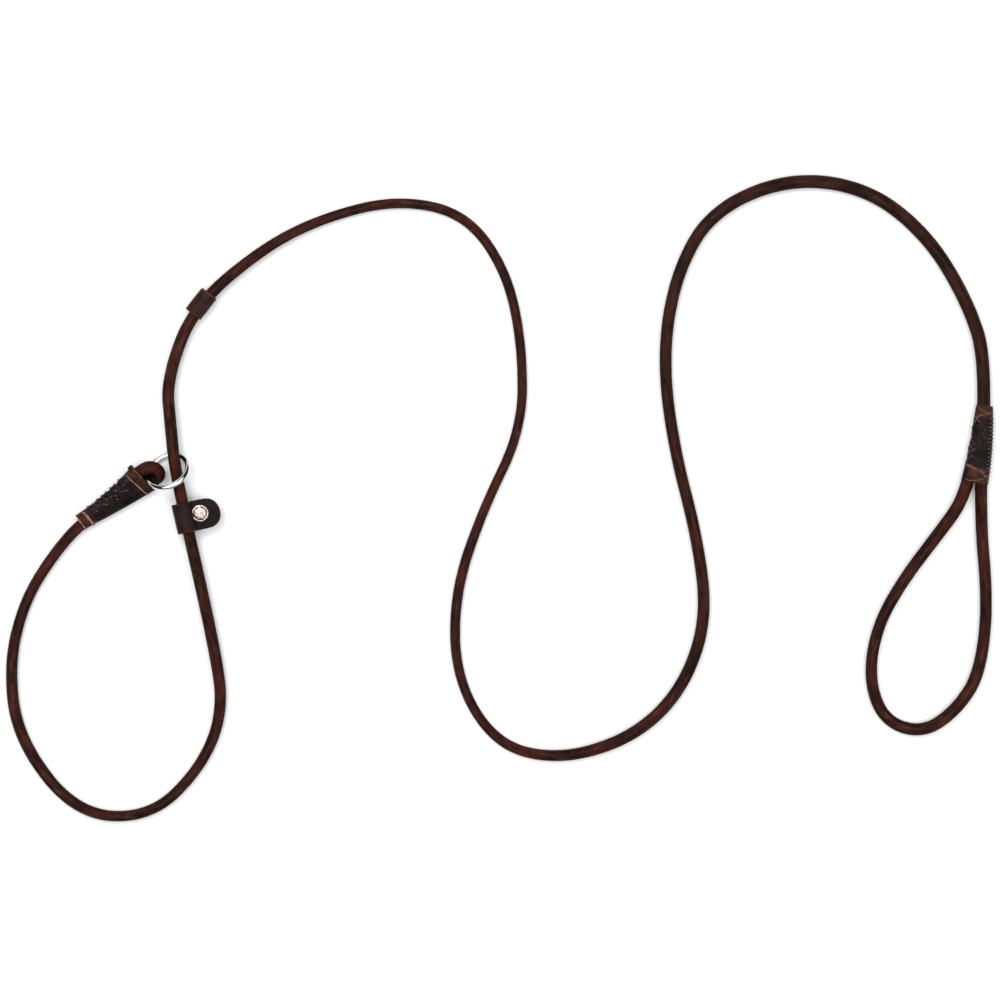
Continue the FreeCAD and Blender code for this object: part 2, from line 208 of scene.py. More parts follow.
class Build:
    """Collects rings of points, tubes and grids into one mesh with its surface attributes."""

    def __init__(self):
        self.points = []
        self.faces = []
        self.grain = []
        self.wear_and_shade = []
        self.tint = []

    def add(self, point, grain=(0, 0, 0), wear_and_shade=0.0, tint=0.0):
        """A point with its surface attributes. Returns its number."""
        self.points.append(Vector(point))
        self.grain.append(Vector(grain))
        self.wear_and_shade.append(wear_and_shade)
        self.tint.append(tint)
        return len(self.points) - 1

    def bridge(self, first, second):
        """Quads between two closed loops of the same number of points."""
        count = len(first)
        for i in range(count):
            j = (i + 1) % count
            self.faces.append((first[i], first[j], second[j], second[i]))

    def fan(self, loop, centre, flip=False):
        """Triangles from a closed loop to one point."""
        for i in range(len(loop)):
            a, b = loop[i], loop[(i + 1) % len(loop)]
            self.faces.append((b, a, centre) if flip else (a, b, centre))

    def make(self, name):
        """The finished mesh as an object in the scene."""
        mesh = bpy.data.meshes.new(name)
        mesh.from_pydata(self.points, [], self.faces)
        mesh.attributes.new("grain", "FLOAT_VECTOR", "POINT")
        # This attribute holds the worn cut edges of the leather pieces and, on the cords, painted
        # shade down their sides.
        mesh.attributes.new("wear_and_shade", "FLOAT", "POINT")
        mesh.attributes.new("tint", "FLOAT", "POINT")
        mesh.attributes["grain"].data.foreach_set("vector", [c for g in self.grain for c in g])
        mesh.attributes["wear_and_shade"].data.foreach_set("value", self.wear_and_shade)
        mesh.attributes["tint"].data.foreach_set("value", self.tint)
        mesh.validate()
        mesh.update()
        for polygon in mesh.polygons:
            polygon.use_smooth = True
        piece = bpy.data.objects.new(name, mesh)
        bpy.context.scene.collection.objects.link(piece)
        return piece


def finish(piece, material, body, slot, *nodes):
    """Material and body of a finished piece, and the CAD nodes that it stands for, which are hidden.
    slot is not used.
    """
    piece.data.materials.append(material)
    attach(piece, body)
    if nodes:
        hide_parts(*nodes)


def ease(share):
    """A share from 0 to 1 that starts and ends gently."""
    return share * share * (3 - 2 * share)


def limit(value):
    """A value held between 0 and 1."""
    return min(max(value, 0.0), 1.0)


def lumps(place, size, depth):
    """Smooth unevenness of a given size and depth, the same on every run."""
    return depth * noise.noise(Vector(place) / size)


def smooth_path(points):
    """Points along the NURBS line whose control points are given."""
    curve = bpy.data.curves.new("route", "CURVE")
    curve.dimensions = "3D"
    curve.resolution_u = ROUTE_STEPS
    spline = curve.splines.new("NURBS")
    spline.points.add(len(points) - 1)
    for knot, point in zip(spline.points, points):
        knot.co = (point[0], point[1], point[2], 1.0)
    spline.order_u = 3
    spline.use_endpoint_u = True
    holder = bpy.data.objects.new("route", curve)
    bpy.context.scene.collection.objects.link(holder)
    mesh = bpy.data.meshes.new_from_object(holder)
    path = [vertex.co.copy() for vertex in mesh.vertices]
    bpy.data.objects.remove(holder)
    bpy.data.curves.remove(curve)
    bpy.data.meshes.remove(mesh)
    return path


def frames(path, normal=UP):
    """Point, tangent, normal and distance along at each point, the frame never twisting."""
    result = []
    distance = 0.0
    for i, point in enumerate(path):
        before = path[max(i - 1, 0)]
        after = path[min(i + 1, len(path) - 1)]
        tangent = (after - before).normalized()
        normal = (normal - tangent * normal.dot(tangent)).normalized()
        if i:
            distance += (point - path[i - 1]).length
        result.append((point, tangent, normal, distance))
    return result


def add_tube(build, path, radius, sides, normal=UP, twist=0.0, shape=None, paint=None,
             round_ends=False):
    """A tube along a path. shape(distance, angle) scales the radius, paint gives the painted shade
    and tint.
    """
    steps = frames(path, normal)
    loops = []
    for point, tangent, up, distance in steps:
        side = tangent.cross(up)
        loop = []
        for i in range(sides):
            angle = math.tau * i / sides
            out = up * math.cos(angle) + side * math.sin(angle)
            scale = shape(distance, angle) if shape else 1.0
            turned = angle + twist * distance
            grain = (distance, radius * math.cos(turned), radius * math.sin(turned))
            # On the cords this value is painted shade, darker where the surface faces less upwards.
            wear_and_shade, tint = paint(distance, out) if paint else (0.0, 0.0)
            loop.append(build.add(point + out * radius * scale, grain, wear_and_shade, tint))
        loops.append(loop)
    for first, second in zip(loops, loops[1:]):
        build.bridge(second, first)
    swell = radius * 0.5 if round_ends else 0.0
    first, last = steps[0], steps[-1]
    start = build.add(first[0] - first[1] * swell, (0, 0, 0))
    end = build.add(last[0] + last[1] * swell, (last[3], 0, 0))
    build.fan(loops[0], start)
    build.fan(loops[-1], end, flip=True)


def join_round(build, loops):
    """Bridges loops in turn, and the last one to the first, into a closed skin."""
    for first, second in zip(loops, loops[1:] + loops[:1]):
        build.bridge(first, second)


# ---------------------------------------------------------------- material helpers

class Nodes:
    """A small wrapper round a material's node tree."""

    def __init__(self, name):
        self.material = bpy.data.materials.new(name)
        self.material.use_nodes = True
        self.tree = self.material.node_tree
        self.tree.nodes.clear()
        output = self.tree.nodes.new("ShaderNodeOutputMaterial")
        self.shader = self.tree.nodes.new("ShaderNodeBsdfPrincipled")
        self.link(self.shader.outputs[0], output.inputs[0])

    def link(self, source, target):
        self.tree.links.new(source, target)

    def node(self, kind, **settings):
        made = self.tree.nodes.new("ShaderNode" + kind)
        for key, value in settings.items():
            setattr(made, key, value)
        return made

    def put(self, socket, value):
        """Links a socket to a node's output, or sets it to a number or a colour."""
        if isinstance(value, bpy.types.NodeSocket):
            self.link(value, socket)
        elif isinstance(value, (tuple, list)) and len(value) == 3 and socket.type == "RGBA":
            socket.default_value = (*value, 1.0)
        else:
            socket.default_value = value

    def attribute(self, name, output="Fac"):
        return self.node("Attribute", attribute_name=name).outputs[output]

    def object_place(self):
        return self.node("TexCoord").outputs["Object"]

    def stretched(self, place, scale):
        mapping = self.node("Mapping")
        self.put(mapping.inputs["Vector"], place)
        mapping.inputs["Scale"].default_value = scale
        return mapping.outputs[0]

    def noise(self, place, scale, detail=4.0, roughness=0.55, distortion=0.0):
        made = self.node("TexNoise")
        self.put(made.inputs["Vector"], place)
        made.inputs["Scale"].default_value = scale
        made.inputs["Detail"].default_value = detail
        made.inputs["Roughness"].default_value = roughness
        made.inputs["Distortion"].default_value = distortion
        return made.outputs["Fac"]

    def cells(self, place, scale, smooth=0.3):
        made = self.node("TexVoronoi", feature="SMOOTH_F1")
        self.put(made.inputs["Vector"], place)
        made.inputs["Scale"].default_value = scale
        made.inputs["Smoothness"].default_value = smooth
        return made.outputs["Distance"]

    def times(self, a, b):
        """The product of two values, held between 0 and 1."""
        made = self.node("Math", operation="MULTIPLY", use_clamp=True)
        self.put(made.inputs[0], a)
        self.put(made.inputs[1], b)
        return made.outputs[0]

    def ramp(self, value, low, high, bottom=0.0, top=1.0):
        made = self.node("MapRange")
        made.clamp = True
        self.put(made.inputs["Value"], value)
        made.inputs["From Min"].default_value = low
        made.inputs["From Max"].default_value = high
        made.inputs["To Min"].default_value = bottom
        made.inputs["To Max"].default_value = top
        return made.outputs["Result"]

    def mix(self, share, a, b):
        made = self.node("Mix", data_type="RGBA")
        self.put(made.inputs["Factor"], share)
        self.put(made.inputs[6], a)
        self.put(made.inputs[7], b)
        return made.outputs[2]

    def bump(self, height, strength, distance, normal=None):
        made = self.node("Bump")
        made.inputs["Strength"].default_value = strength
        made.inputs["Distance"].default_value = distance
        self.put(made.inputs["Height"], height)
        if normal is not None:
            self.put(made.inputs["Normal"], normal)
        return made.outputs[0]

    def finish(self, colour, roughness, normal=None, **constants):
        """Sets up the shader. The constants are its other sockets, _ for a space."""
        self.put(self.shader.inputs["Base Color"], colour)
        self.put(self.shader.inputs["Roughness"], roughness)
        if normal is not None:
            self.put(self.shader.inputs["Normal"], normal)
        for name, value in constants.items():
            self.shader.inputs[name.replace("_", " ")].default_value = value
        return self.material


def cord_leather():
    """Rolled pull-up leather: red-brown and streaked lengthways, with painted shade darkening it
    steeply down its sides, where it faces less upwards.
    """
    n = Nodes("rolled_leather")
    place = n.attribute("grain", "Vector")
    streaks = n.noise(n.stretched(place, (0.16, 1.0, 1.0)), 620.0, 5.0, 0.62, 0.5)
    blotches = n.noise(n.stretched(place, (0.5, 1.0, 1.0)), 260.0, 4.0, 0.6)
    drift = n.noise(place, 26.0, 2.0)
    painted_shade_colour = (0.0016, 0.0006, 0.0004)
    dark = (0.0065, 0.0017, 0.0010)
    brown = (0.030, 0.0088, 0.0046)
    red = (0.058, 0.0108, 0.0062)
    tan = (0.082, 0.0305, 0.0165)
    dull = (0.015, 0.0088, 0.0042)
    colour = n.mix(n.ramp(blotches, 0.36, 0.62), dark, brown)
    colour = n.mix(n.ramp(drift, 0.42, 0.62, 0.0, 0.7), colour, red)
    colour = n.mix(n.ramp(streaks, 0.52, 0.70, 0.0, 0.75), colour, tan)
    colour = n.mix(n.times(n.attribute("tint"), 0.38), colour, dull)
    cracks = n.ramp(streaks, 0.33, 0.47, 1.0, 0.0)
    colour = n.mix(cracks, colour, dark)
    # Painted shade: the sides of the cord, facing less upwards, are darkened almost to nothing.
    painted_shade_mask = n.ramp(n.attribute("wear_and_shade"), 0.38, 0.74, 1.0, 0.0)
    colour = n.mix(painted_shade_mask, colour, painted_shade_colour)
    pores = n.cells(n.stretched(place, (0.8, 1.0, 1.0)), 2400.0)
    creases = n.noise(n.stretched(place, (1.6, 0.7, 0.7)), 700.0, 6.0, 0.62, 1.2)
    normal = n.bump(creases, 0.45, 0.00030)
    normal = n.bump(pores, 0.40, 0.00012, normal)
    normal = n.bump(streaks, 0.35, 0.00030, normal)
    roughness = n.ramp(creases, 0.30, 0.72, 0.38, 0.58)
    return n.finish(colour, roughness, normal, Specular_IOR_Level=0.05)


def strap_leather(name, dark, mid, worn, tinted, gloss=0.42):
    """Firm dyed leather: fine pebbled grain, cloudy colour, cut edges worn back to brown."""
    n = Nodes(name)
    place = n.object_place()
    clouds = n.noise(place, 190.0, 4.0, 0.6, 0.4)
    broad = n.noise(place, 60.0, 2.0)
    colour = n.mix(n.ramp(clouds, 0.34, 0.66), dark, mid)
    colour = n.mix(n.ramp(broad, 0.55, 0.75, 0.0, 0.35), colour, worn)
    flecks = n.noise(place, 1250.0, 3.0, 0.6)
    colour = n.mix(n.ramp(flecks, 0.54, 0.74, 0.0, 0.40), colour, worn)
    colour = n.mix(n.ramp(flecks, 0.30, 0.44, 0.55, 0.0), colour, dark)
    scuffs = n.noise(place, 900.0, 5.0, 0.65)
    rubbed = n.times(n.attribute("wear_and_shade"), n.ramp(scuffs, 0.30, 0.58))
    colour = n.mix(rubbed, colour, worn)
    banded = n.times(n.attribute("tint"), n.ramp(clouds, 0.30, 0.60))
    colour = n.mix(banded, colour, tinted)
    pebbles = n.cells(place, 1500.0)
    creases = n.noise(place, 520.0, 6.0, 0.62, 1.5)
    normal = n.bump(pebbles, 0.40, 0.00016)
    normal = n.bump(creases, 0.35, 0.00030, normal)
    roughness = n.ramp(creases, 0.30, 0.70, gloss, gloss + 0.18)
    return n.finish(colour, roughness, normal, Specular_IOR_Level=0.07)


def thread_material(name, dark, light):
    """Waxed twisted thread, grubby in places; on the speckled and olive threads the light colour of
    its patches is a painted highlight.
    """
    n = Nodes(name)
    place = n.attribute("grain", "Vector")
    # Patches of the light colour: random tone on most threads, painted highlights on the speckled
    # and olive ones.
    grime_and_glints = n.noise(n.object_place(), 420.0, 4.0, 0.6)
    fibres = n.noise(n.stretched(place, (0.25, 1.0, 1.0)), 5200.0, 3.0, 0.6)
    colour = n.mix(n.ramp(grime_and_glints, 0.34, 0.62), dark, light)
    colour = n.mix(n.ramp(fibres, 0.55, 0.80, 0.0, 0.5), colour, dark)
    normal = n.bump(fibres, 0.5, 0.00006)
    return n.finish(colour, n.ramp(fibres, 0.3, 0.7, 0.50, 0.72), normal,
                    Specular_IOR_Level=0.30)


def ring_metal():
    """Bright chrome plating with hairline scratches."""
    n = Nodes("ring_chrome")
    place = n.object_place()
    scratches = n.noise(n.stretched(place, (1.0, 1.0, 0.2)), 2600.0, 3.0, 0.6)
    smudges = n.noise(place, 240.0, 3.0, 0.6)
    normal = n.bump(scratches, 0.04, 0.00003)
    roughness = n.ramp(smudges, 0.35, 0.75, 0.035, 0.12)
    colour = n.mix(n.ramp(smudges, 0.45, 0.8, 0.0, 0.25), (0.74, 0.74, 0.75), (0.60, 0.59, 0.58))
    return n.finish(colour, roughness, normal, Metallic=1.0)


def rivet_metal():
    """Warm nickel, polished over a lightly hammered face."""
    n = Nodes("rivet_nickel")
    place = n.object_place()
    dents = n.cells(place, 900.0, 0.8)
    scratches = n.noise(n.stretched(place, (1.0, 0.25, 1.0)), 2200.0, 4.0, 0.6)
    smudges = n.noise(place, 500.0, 4.0, 0.6)
    normal = n.bump(dents, 0.5, 0.00040)
    normal = n.bump(scratches, 0.08, 0.00004, normal)
    roughness = n.ramp(smudges, 0.35, 0.70, 0.10, 0.26)
    colour = n.mix(n.ramp(smudges, 0.40, 0.70), (0.45, 0.39, 0.35), (0.25, 0.195, 0.16))
    return n.finish(colour, roughness, normal, Metallic=1.0)


# ---------------------------------------------------------------- cord

def facing_up_shade(distance, out):
    """How much the cord faces upwards, which sets the painted shade down its sides, and no tint."""
    return max(0.0, out.z), 0.0


def lead_shade_and_dulling(distance, out):
    """The same painted shade, with the leather a duller brown towards the hand."""
    return max(0.0, out.z), 1 / (1 + math.exp(-(distance - DULL_FROM) / 0.05))


def girth(distance, sizes):
    """The cord's thickness at a distance, easing from one size to the next."""
    for (a, size_a), (b, size_b) in zip(sizes, sizes[1:]):
        if distance <= b:
            return size_a + (size_b - size_a) * ease((distance - a) / (b - a))
    return sizes[-1][1]


def cord_shape(distance, angle):
    """The rolled edge's seam along the underside, and slight unevenness of the rolling."""
    seam = math.exp(-((angle - math.pi * 0.93) / 0.10) ** 2)
    place = (distance, 0.004 * math.cos(angle), 0.004 * math.sin(angle))
    return 1.0 - 0.045 * seam + lumps(place, 7 * MM, 0.018) + lumps(place, 2.2 * MM, 0.008)


def make_cord(name, points, sizes, paint, material, *nodes):
    """A cord along its route, let down or up where it lies so that it rests on the table."""
    path = smooth_path(points)
    laid = []
    for point, _, _, distance in frames(path):
        lying = limit((4.2 * MM - point.z) / (1.0 * MM))
        rise = CORD_RADIUS * (girth(distance, sizes) - 1) * lying
        laid.append(point + UP * rise)
    build = Build()
    add_tube(build, laid, CORD_RADIUS, CORD_SIDES, twist=GRAIN_TWIST, paint=paint,
             shape=lambda distance, angle: girth(distance, sizes) * cord_shape(distance, angle))
    build.points = [clear_of_ring(point) for point in build.points]
    piece = build.make(name)
    finish(piece, material, "lead", "cord", *nodes)
    return piece, path


def ring_axes():
    """The ring's level diameter, the diameter that runs down, and its axis."""
    across = Vector((math.cos(RING_TURN), math.sin(RING_TURN), 0))
    down = Vector((-math.sin(RING_TURN) * math.cos(RING_TILT),
                   math.cos(RING_TURN) * math.cos(RING_TILT), -math.sin(RING_TILT)))
    return across, down, across.cross(down)


def clear_of_ring(point):
    """The leather is squeezed where it lies against the ring's wire."""
    axis = ring_axes()[2]
    arm = point - RING_CENTRE
    level_arm = arm - axis * arm.dot(axis)
    nearest = RING_CENTRE + level_arm.normalized() * RING_RADIUS
    gap = point - nearest
    least = RING_WIRE + WIRE_CLEARANCE
    return nearest + gap.normalized() * least if gap.length < least else point


def eye_shape(distance, angle):
    """The cord's own shape, pared down where its free end lies under the narrowing cover."""
    pared = limit((distance - EYE_PARED_FROM) / EYE_PARED_OVER)
    return cord_shape(distance, angle) * (1 - 0.6 * pared)


def make_eye(material):
    """The cord's end, folded round the ring's wire."""
    build = Build()
    add_tube(build, smooth_path(EYE_ROUTE), EYE_RADIUS, CORD_SIDES, twist=GRAIN_TWIST,
             shape=eye_shape, paint=facing_up_shade)
    build.points = [clear_of_ring(point) for point in build.points]
    piece = build.make("eye_fold")
    finish(piece, material, "lead", "cord", "ring_eye", "neck_cord_tail")


# ---------------------------------------------------------------- wraps

class Cover:
    """A leather cover over the doubled cord. Its surface is found by share of length and turn:
    turn 0 is the whip-stitched edge, a quarter turn the upper face, half a turn the other edge.

    Millimetres and degrees. narrow and wide are the middles of its ends, each with its size as
    (half width of the flat part, radius). The cover is rolled by tilt, its wide end is cut at a
    slant, its middle line is bent by bow, and flare shapes how it widens. Each of the gathers is
    (share of length, which edge as 1 or -1, depth)."""

    def __init__(self, narrow, wide, narrow_size, wide_size, tilt, slant, bow, flare, gathers):
        self.narrow = Vector(narrow) * MM
        self.wide = Vector(wide) * MM
        self.sizes = (narrow_size, wide_size)
        self.along = Vector((self.wide - self.narrow).xy.to_3d()).normalized()
        sideways = UP.cross(self.along)
        angle = math.radians(tilt)
        self.side = sideways * math.cos(angle) + UP * math.sin(angle)
        self.thick = self.along.cross(self.side)
        self.length = (self.wide - self.narrow).length
        self.slant = slant
        self.bow = bow * MM
        self.flare = flare
        self.gathers = gathers

    def point(self, share, turn, lift=0.0):
        """The surface at a share of the length and a turn, lifted off it by lift metres."""
        small, large = self.sizes
        spread = max(0.0, share) ** self.flare
        flat = (small[0] + (large[0] - small[0]) * spread) * MM
        radius = (small[1] + (large[1] - small[1]) * share) * MM + lift
        across = math.cos(turn)
        height = math.sin(turn)
        bend = math.tanh(2.2 * across) / math.tanh(2.2)
        x = flat * bend + radius * across
        waist = WAIST_DEPTH * max(0.0, share) * math.exp(-(x / (0.45 * flat + 0.8 * MM)) ** 2)
        z = radius * height * (1 - waist)
        for middle, edge, depth in self.gathers:
            near = max(0.0, across * edge) ** 3
            x -= edge * depth * MM * near * math.exp(-((share - middle) / GATHER_WIDTH) ** 2)
        x += self.bow * math.sin(math.pi * limit(share))
        place = self.narrow + (self.wide - self.narrow) * share
        place = place + self.side * x + self.thick * z
        place = place - self.along * (x * self.slant * max(0.0, share))
        place = place + self.thick * lumps(place, 5 * MM, 0.12 * MM)
        place.z = max(place.z, 0.0)
        return place


def banding(share, turn, bands):
    """How strongly a place on a cover is coloured by its bands, from share low to share high and
    from a little under the stitched edge to a band's own reach in degrees."""
    signed = (turn + math.pi / 2) % math.tau - math.pi / 2
    above = 1 / (1 + math.exp((-math.radians(48) - signed) / 0.14))
    strongest = 0.0
    for low, high, reach in bands:
        inside = limit(min(share - low, high - share) / 0.03 + 0.5)
        fade = 1 / (1 + math.exp((signed - math.radians(reach)) / 0.14))
        strongest = max(strongest, inside * fade * above)
    return strongest


def make_cover(name, cover, material, node, bands):
    """The leather itself, as thin as it really is, with rounded cut edges at both ends."""
    build = Build()
    rim = COVER_RIM / cover.length
    outside = [(i / COVER_STATIONS, 0.0) for i in range(COVER_STATIONS + 1)]
    turned_in = [(1 + rim, -0.22 * MM), (1 + rim, -0.68 * MM)]
    inside = [(1 - i / 20, -COVER_LEATHER) for i in range(21)]
    turned_out = [(-rim, -0.68 * MM), (-rim, -0.22 * MM)]
    loops = []
    for share, lift in outside + turned_in + inside + turned_out:
        edge = min(abs(share), abs(1 - share)) * cover.length
        wear_and_shade = max(0.0, 1 - edge / (0.9 * MM)) if lift > -0.8 * MM else 0.0
        loop = []
        for k in range(COVER_AROUND):
            turn = math.tau * k / COVER_AROUND
            tint = banding(share, turn, bands)
            loop.append(build.add(cover.point(share, turn, lift), (0, 0, 0),
                                  wear_and_shade * (0.3 + 0.7 * tint), tint))
        loops.append(loop)
    for first, second in zip(loops, loops[1:] + loops[:1]):
        build.bridge(second, first)
    finish(build.make(name), material, "lead", "wrap_leather", node)


def twisted(distance, angle):
    """Two-ply twist of a sewing thread."""
    return 1.0 + 0.14 * math.cos(2 * angle - distance * math.tau / TWIST_PITCH)


def add_thread(build, cover, places, radius, lift):
    """Thread laid on a cover through a few places, each a share of its length and a turn."""
    control = []
    for (a, turn_a), (b, turn_b) in zip(places, places[1:]):
        for i in range(THREAD_STEPS):
            f = i / THREAD_STEPS
            control.append((a + (b - a) * f, math.radians(turn_a + (turn_b - turn_a) * f)))
    control.append((places[-1][0], math.radians(places[-1][1])))
    path = [cover.point(share, turn, lift) for share, turn in control]
    for point in path:
        point.z = max(point.z, radius)
    normal = (path[0] - cover.narrow.lerp(cover.wide, places[0][0])).normalized()
    add_tube(build, path, radius, THREAD_SIDES, normal=normal, shape=twisted, round_ends=True)


def make_threads(name, cover, courses, radius, lift, material, slot, *nodes):
    """Threads of one kind on a cover. radius and lift are in millimetres."""
    build = Build()
    for places in courses:
        add_thread(build, cover, places, radius * MM, lift * MM)
    finish(build.make(name), material, "lead", slot, *nodes)


def whip_stitches(cover, first, last, pitch, reach, lean, rng):
    """Courses over the stitched edge, from the upper face round to the lower one."""
    count = int((last - first) * cover.length / (pitch * MM))
    courses = []
    for i in range(count + 1):
        share = first + (last - first) * i / count + rng.uniform(-0.004, 0.004)
        slip = lean * MM / cover.length
        top = reach + rng.uniform(-6, 6)
        courses.append([(share + slip, top), (share + slip * 0.3, top * 0.45),
                        (share - slip * 0.4, -20), (share - slip, -60)])
    return courses


def specks(first, last, count, near, far, rng):
    """Short lengths of thread that show here and there between two turns."""
    courses = []
    for i in range(count):
        share = first + (last - first) * (i + rng.uniform(-0.4, 0.4)) / (count - 1)
        turn = near + (far - near) * rng.random() ** 2
        courses.append([(share, turn), (share + rng.uniform(0.012, 0.030),
                                        turn + rng.uniform(-4, 9))])
    return courses


def zigzag(first, last, near, far, count, rng):
    """A lacing that goes back and forth between two turns."""
    courses = []
    for i in range(count):
        a = first + (last - first) * i / count
        b = first + (last - first) * (i + 0.55) / count
        c = first + (last - first) * (i + 1) / count
        shift = rng.uniform(-0.004, 0.004)
        courses.append([(a, far), (b + shift, near)])
        courses.append([(b + shift, near), (c, far + rng.uniform(-5, 5))])
    return courses


# ---------------------------------------------------------------- ring, keeper, stop

def make_ring(material):
    """The ring, with the slight swelling of its weld."""
    across, down, axis = ring_axes()
    turns = [math.tau * k / RING_SIDES for k in range(RING_SIDES)]
    build = Build()
    loops = []
    for i in range(RING_STEPS):
        angle = math.tau * i / RING_STEPS
        out = across * math.cos(angle) + down * math.sin(angle)
        weld = math.exp(-((i - WELD_STEP) / 2.2) ** 2)
        wire = RING_WIRE * (1 + 0.05 * weld)
        loops.append([build.add(RING_CENTRE + out * (RING_RADIUS + wire * math.cos(turn))
                                + axis * wire * math.sin(turn)) for turn in turns])
    join_round(build, loops)
    finish(build.make("slip_ring"), material, "ring", "ring_chrome", "o_ring")


class KeeperFrame:
    """Where the keeper is, and its directions: along the cord, across it and up."""

    def __init__(self):
        far = Vector(LEAD_ROUTE[KEEPER_POINTS[0]])
        near = Vector(LEAD_ROUTE[KEEPER_POINTS[1]])
        self.along = (near - far).normalized()
        across = self.along.cross(UP)
        self.across = Vector((across.x, across.y, 0)).normalized()
        self.up = self.across.cross(self.along)
        self.centre = near - self.along * KEEPER_FROM_RING_POINT

    def at(self, along, across, up):
        """The place at these distances from the keeper's middle."""
        return self.centre + self.along * along + self.across * across + self.up * up


def keeper_line():
    """The strap's own middle line, as (across, up, share of padding), from the upper tab's end
    round the cord to the lower tab's end."""
    bend = KEEPER_BORE + (KEEPER_LEATHER + KEEPER_PAD) / 2
    start, end, height = UPPER_FOLD
    line = [(KEEPER_REACH + (start - KEEPER_REACH) * i / (TAB_STEPS - 1), TAB_TOP, 0.0)
            for i in range(TAB_STEPS)]
    line += [(start + (end - start) * f, TAB_TOP + (height - TAB_TOP) * ease(f), ease(f))
             for f in FOLD_SHARES]
    for i in range(ARC_STEPS + 1):
        angle = math.radians(FOLD_ARC[0] + (FOLD_ARC[1] - FOLD_ARC[0]) * i / ARC_STEPS)
        line.append((bend * math.cos(angle), bend * math.sin(angle), 1.0))
    start, end, height = LOWER_FOLD
    line += [(end + (start - end) * f, height + (TAB_BOTTOM - height) * ease(f), 1 - ease(f))
             for f in FOLD_SHARES]
    line += [(start + (KEEPER_REACH - start) * i / (TAB_STEPS - 1), TAB_BOTTOM, 0.0)
             for i in range(TAB_STEPS)]
    return line


def tab_half_widths(from_end):
    """Half widths of the tab on its near and far side at a distance from its tip. It was cut by
    hand, so its tip is rounder on the side towards the ring."""
    half = KEEPER_WIDTH / 2
    depth = min(max(from_end, TAB_TIP), half) / half
    return (max(half * (1 - (1 - depth) ** 2.15) ** 0.47, TAB_LEAST),
            max(half * (1 - (1 - depth) ** 2.50) ** 0.42, TAB_LEAST))


def make_keeper(place, material):
    """A strap swept along its folded line, its ends cut nearly half round."""
    line = keeper_line()
    straight = TAB_STEPS + len(FOLD_SHARES)
    build = Build()
    loops = []
    for i, (across, up, padding) in enumerate(line):
        before = line[max(i - 1, 0)]
        after = line[min(i + 1, len(line) - 1)]
        run = Vector((after[0] - before[0], after[1] - before[1])).normalized()
        normal = Vector((-run[1], run[0]))
        on_tab = i < straight or i >= len(line) - straight
        near, far = tab_half_widths(KEEPER_REACH - across if on_tab else KEEPER_WIDTH)
        half_thick = (KEEPER_LEATHER + KEEPER_PAD * padding) / 2 - 0.02 * MM
        shift = (near - far) / 2
        loop = []
        wave = 1 + lumps((across, up, 0.01), 6 * MM, 0.02)
        for x, z, edge in rounded_box((near + far) / 2 * wave, half_thick, KEEPER_CORNER):
            point = place.at(x + shift, across + normal[0] * z, up + normal[1] * z)
            point = point + place.along * lumps(point, 2.5 * MM, 0.16 * MM)
            tab = limit((across - 4.0 * MM) / (1.5 * MM))
            wear_and_shade = edge * (0.12 if across > 4.5 * MM else 1.0 if x < 0 else 0.25)
            loop.append(build.add(point, (0, 0, 0), wear_and_shade, tab))
        loops.append(loop)
    for first, second in zip(loops, loops[1:]):
        build.bridge(first, second)
    for loop, flip in ((loops[0], True), (loops[-1], False)):
        centre = sum((build.points[k] for k in loop), Vector()) / len(loop)
        build.fan(loop, build.add(centre, (0, 0, 0), 1.0), flip=flip)
    finish(build.make("keeper_fold"), material, "keeper", "keeper_leather", "keeper_strap")


def rounded_box(half_width, half_thick, corner):
    """Outline of a strap's cut section: (across the strap, through it, share of edge wear)."""
    outline = []
    flat_steps = 14
    for sign_x, sign_z, start in ((1, 1, 0), (-1, 1, 90), (-1, -1, 180), (1, -1, 270)):
        for k in range(4):
            angle = math.radians(start + 90 * k / 3)
            outline.append((sign_x * (half_width - corner) + corner * math.cos(angle),
                            sign_z * (half_thick - corner) + corner * math.sin(angle), 0.9))
        if start in (0, 180):
            for k in range(1, flat_steps):
                x = sign_x * (half_width - corner) * (1 - 2 * k / flat_steps)
                outline.append((x, sign_z * half_thick, 0.0))
    return outline


def revolve(build, base, up, out, profile):
    """A solid of revolution from (radius, height) pairs, the first and last on the axis."""
    other = up.cross(out)
    turns = [math.tau * k / 64 for k in range(64)]
    loops = []
    for radius, height in profile[1:-1]:
        loops.append([build.add(base + up * height
                                + (out * math.cos(turn) + other * math.sin(turn)) * radius)
                      for turn in turns])
    for first, second in zip(loops, loops[1:]):
        build.bridge(first, second)
    bottom = build.add(base + up * profile[0][1])
    top = build.add(base + up * profile[-1][1])
    build.fan(loops[0], bottom, flip=True)
    build.fan(loops[-1], top)


def dome_profile(radius, edge, height, rim):
    """A rivet head: rolled rim, a shallow groove inside it and a low dome."""
    profile = [(0.0, 0.0), (radius - 0.15 * MM, 0.0)]
    for k in range(7):
        angle = math.radians(-70 + 160 * k / 6)
        profile.append((radius - rim + rim * math.cos(angle),
                        edge + rim * 0.6 * math.sin(angle)))
    inner = radius - rim * 1.9
    for k in range(14):
        angle = math.radians(90 * k / 14)
        profile.append((inner * math.cos(angle), edge + rim * 0.25
                        + (height - edge - rim * 0.25) * math.sin(angle) ** 1.15))
    profile.append((0.0, height))
    return profile


